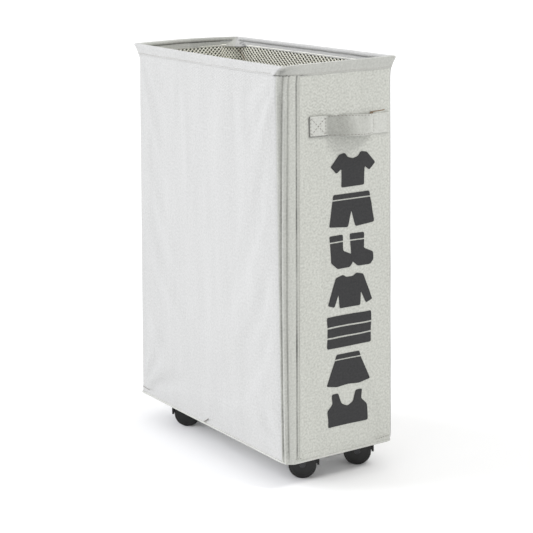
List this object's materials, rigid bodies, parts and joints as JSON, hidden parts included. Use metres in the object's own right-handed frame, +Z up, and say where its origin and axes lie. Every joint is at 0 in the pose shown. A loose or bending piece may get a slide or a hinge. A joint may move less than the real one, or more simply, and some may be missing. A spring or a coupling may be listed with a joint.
{
  "type": "laundry sorter on wheels",
  "caption": "Slim upright fabric laundry hamper with a wired rim, inner mesh collar, strap handles and stiff base on swivelling twin-wheel castors.",
  "frame": {"origin": "on the floor, midway between the fabric walls", "axes": "+Z up, X across the narrow faces, Y along the broad faces; the front face looks towards -Y"},
  "size_m": [0.1862, 0.428, 0.59],
  "materials": {
    "side_canvas": "woven polyester canvas, matt",
    "front_canvas": "woven polyester canvas, matt",
    "hem_canvas": "folded canvas, stitched",
    "strap_canvas": "folded canvas strap, stitched",
    "netting": "open knitted mesh",
    "sleeve_fabric": "thin canvas",
    "pole_metal": "satin",
    "cap_plastic": "moulded",
    "hoop_steel": "zinc plated wire",
    "hardboard": "smooth hardboard",
    "insert_fabric": "canvas over stiff foam",
    "zinc_steel": "zinc plated",
    "washer_nylon": "nylon",
    "hood_plastic": "glossy moulded black",
    "wheel_plastic": "satin moulded black",
    "print_ink": "screen print on canvas",
    "thread": "sewing thread"
  },
  "bodies": {
    "hamper": {"left_panel": "side_canvas", "right_panel": "side_canvas", "front_panel": "front_canvas", "rear_panel": "front_canvas", "closing_strip": "front_canvas", "corner_welts": "front_canvas", "bottom_panel": "front_canvas", "rim_hem": "hem_canvas", "bottom_piping": "hem_canvas", "collar_channel": "hem_canvas", "front_handle": "strap_canvas", "rear_handle": "strap_canvas", "mesh_collar": "netting", "pole_sleeve_front_left": "sleeve_fabric", "pole_sleeve_front_right": "sleeve_fabric", "pole_sleeve_rear_left": "sleeve_fabric", "pole_sleeve_rear_right": "sleeve_fabric", "corner_pole_front_left": "pole_metal", "corner_pole_front_right": "pole_metal", "corner_pole_rear_left": "pole_metal", "corner_pole_rear_right": "pole_metal", "pole_caps": "cap_plastic", "rim_hoop": "hoop_steel", "base_board": "hardboard", "base_insert": "insert_fabric", "castor_screws": "zinc_steel", "castor_nuts": "zinc_steel", "castor_plate_front_left": "zinc_steel", "castor_plate_front_right": "zinc_steel", "castor_plate_rear_left": "zinc_steel", "castor_plate_rear_right": "zinc_steel", "castor_kingpin_front_left": "zinc_steel", "castor_kingpin_front_right": "zinc_steel", "castor_kingpin_rear_left": "zinc_steel", "castor_kingpin_rear_right": "zinc_steel", "castor_washer_front_left": "washer_nylon", "castor_washer_front_right": "washer_nylon", "castor_washer_rear_left": "washer_nylon", "castor_washer_rear_right": "washer_nylon"},
    "swivel_front_left": {"castor_hood_front_left": "hood_plastic", "castor_axle_front_left": "zinc_steel"},
    "wheel_a_front_left": {"castor_wheel_a_front_left": "wheel_plastic"},
    "wheel_b_front_left": {"castor_wheel_b_front_left": "wheel_plastic"},
    "swivel_front_right": {"castor_hood_front_right": "hood_plastic", "castor_axle_front_right": "zinc_steel"},
    "wheel_a_front_right": {"castor_wheel_a_front_right": "wheel_plastic"},
    "wheel_b_front_right": {"castor_wheel_b_front_right": "wheel_plastic"},
    "swivel_rear_left": {"castor_hood_rear_left": "hood_plastic", "castor_axle_rear_left": "zinc_steel"},
    "wheel_a_rear_left": {"castor_wheel_a_rear_left": "wheel_plastic"},
    "wheel_b_rear_left": {"castor_wheel_b_rear_left": "wheel_plastic"},
    "swivel_rear_right": {"castor_hood_rear_right": "hood_plastic", "castor_axle_rear_right": "zinc_steel"},
    "wheel_a_rear_right": {"castor_wheel_a_rear_right": "wheel_plastic"},
    "wheel_b_rear_right": {"castor_wheel_b_rear_right": "wheel_plastic"}
  },
  "joints": [
    {"name": "swivel_front_left", "type": "hinge", "parent": "hamper", "child": "swivel_front_left", "pos_m": [-0.048, -0.149, 0.0431], "axis": [0, 0, 1], "continuous": true},
    {"name": "spin_a_front_left", "type": "hinge", "parent": "swivel_front_left", "child": "wheel_a_front_left", "pos_m": [-0.03542, -0.15717, 0.02], "axis": [0.5446, 0.8387, 0], "continuous": true},
    {"name": "spin_b_front_left", "type": "hinge", "parent": "swivel_front_left", "child": "wheel_b_front_left", "pos_m": [-0.03542, -0.15717, 0.02], "axis": [0.5446, 0.8387, 0], "continuous": true},
    {"name": "swivel_front_right", "type": "hinge", "parent": "hamper", "child": "swivel_front_right", "pos_m": [0.048, -0.149, 0.0431], "axis": [0, 0, 1], "continuous": true},
    {"name": "spin_a_front_right", "type": "hinge", "parent": "swivel_front_right", "child": "wheel_a_front_right", "pos_m": [0.06058, -0.15717, 0.02], "axis": [0.5446, 0.8387, 0], "continuous": true},
    {"name": "spin_b_front_right", "type": "hinge", "parent": "swivel_front_right", "child": "wheel_b_front_right", "pos_m": [0.06058, -0.15717, 0.02], "axis": [0.5446, 0.8387, 0], "continuous": true},
    {"name": "swivel_rear_left", "type": "hinge", "parent": "hamper", "child": "swivel_rear_left", "pos_m": [-0.043, 0.125, 0.0431], "axis": [0, 0, 1], "continuous": true},
    {"name": "spin_a_rear_left", "type": "hinge", "parent": "swivel_rear_left", "child": "wheel_a_rear_left", "pos_m": [-0.05558, 0.13317, 0.02], "axis": [-0.5446, -0.8387, 0], "continuous": true},
    {"name": "spin_b_rear_left", "type": "hinge", "parent": "swivel_rear_left", "child": "wheel_b_rear_left", "pos_m": [-0.05558, 0.13317, 0.02], "axis": [-0.5446, -0.8387, 0], "continuous": true},
    {"name": "swivel_rear_right", "type": "hinge", "parent": "hamper", "child": "swivel_rear_right", "pos_m": [0.043, 0.125, 0.0431], "axis": [0, 0, 1], "continuous": true},
    {"name": "spin_a_rear_right", "type": "hinge", "parent": "swivel_rear_right", "child": "wheel_a_rear_right", "pos_m": [0.03042, 0.13317, 0.02], "axis": [-0.5446, -0.8387, 0], "continuous": true},
    {"name": "spin_b_rear_right", "type": "hinge", "parent": "swivel_rear_right", "child": "wheel_b_rear_right", "pos_m": [0.03042, 0.13317, 0.02], "axis": [-0.5446, -0.8387, 0], "continuous": true}
  ]
}
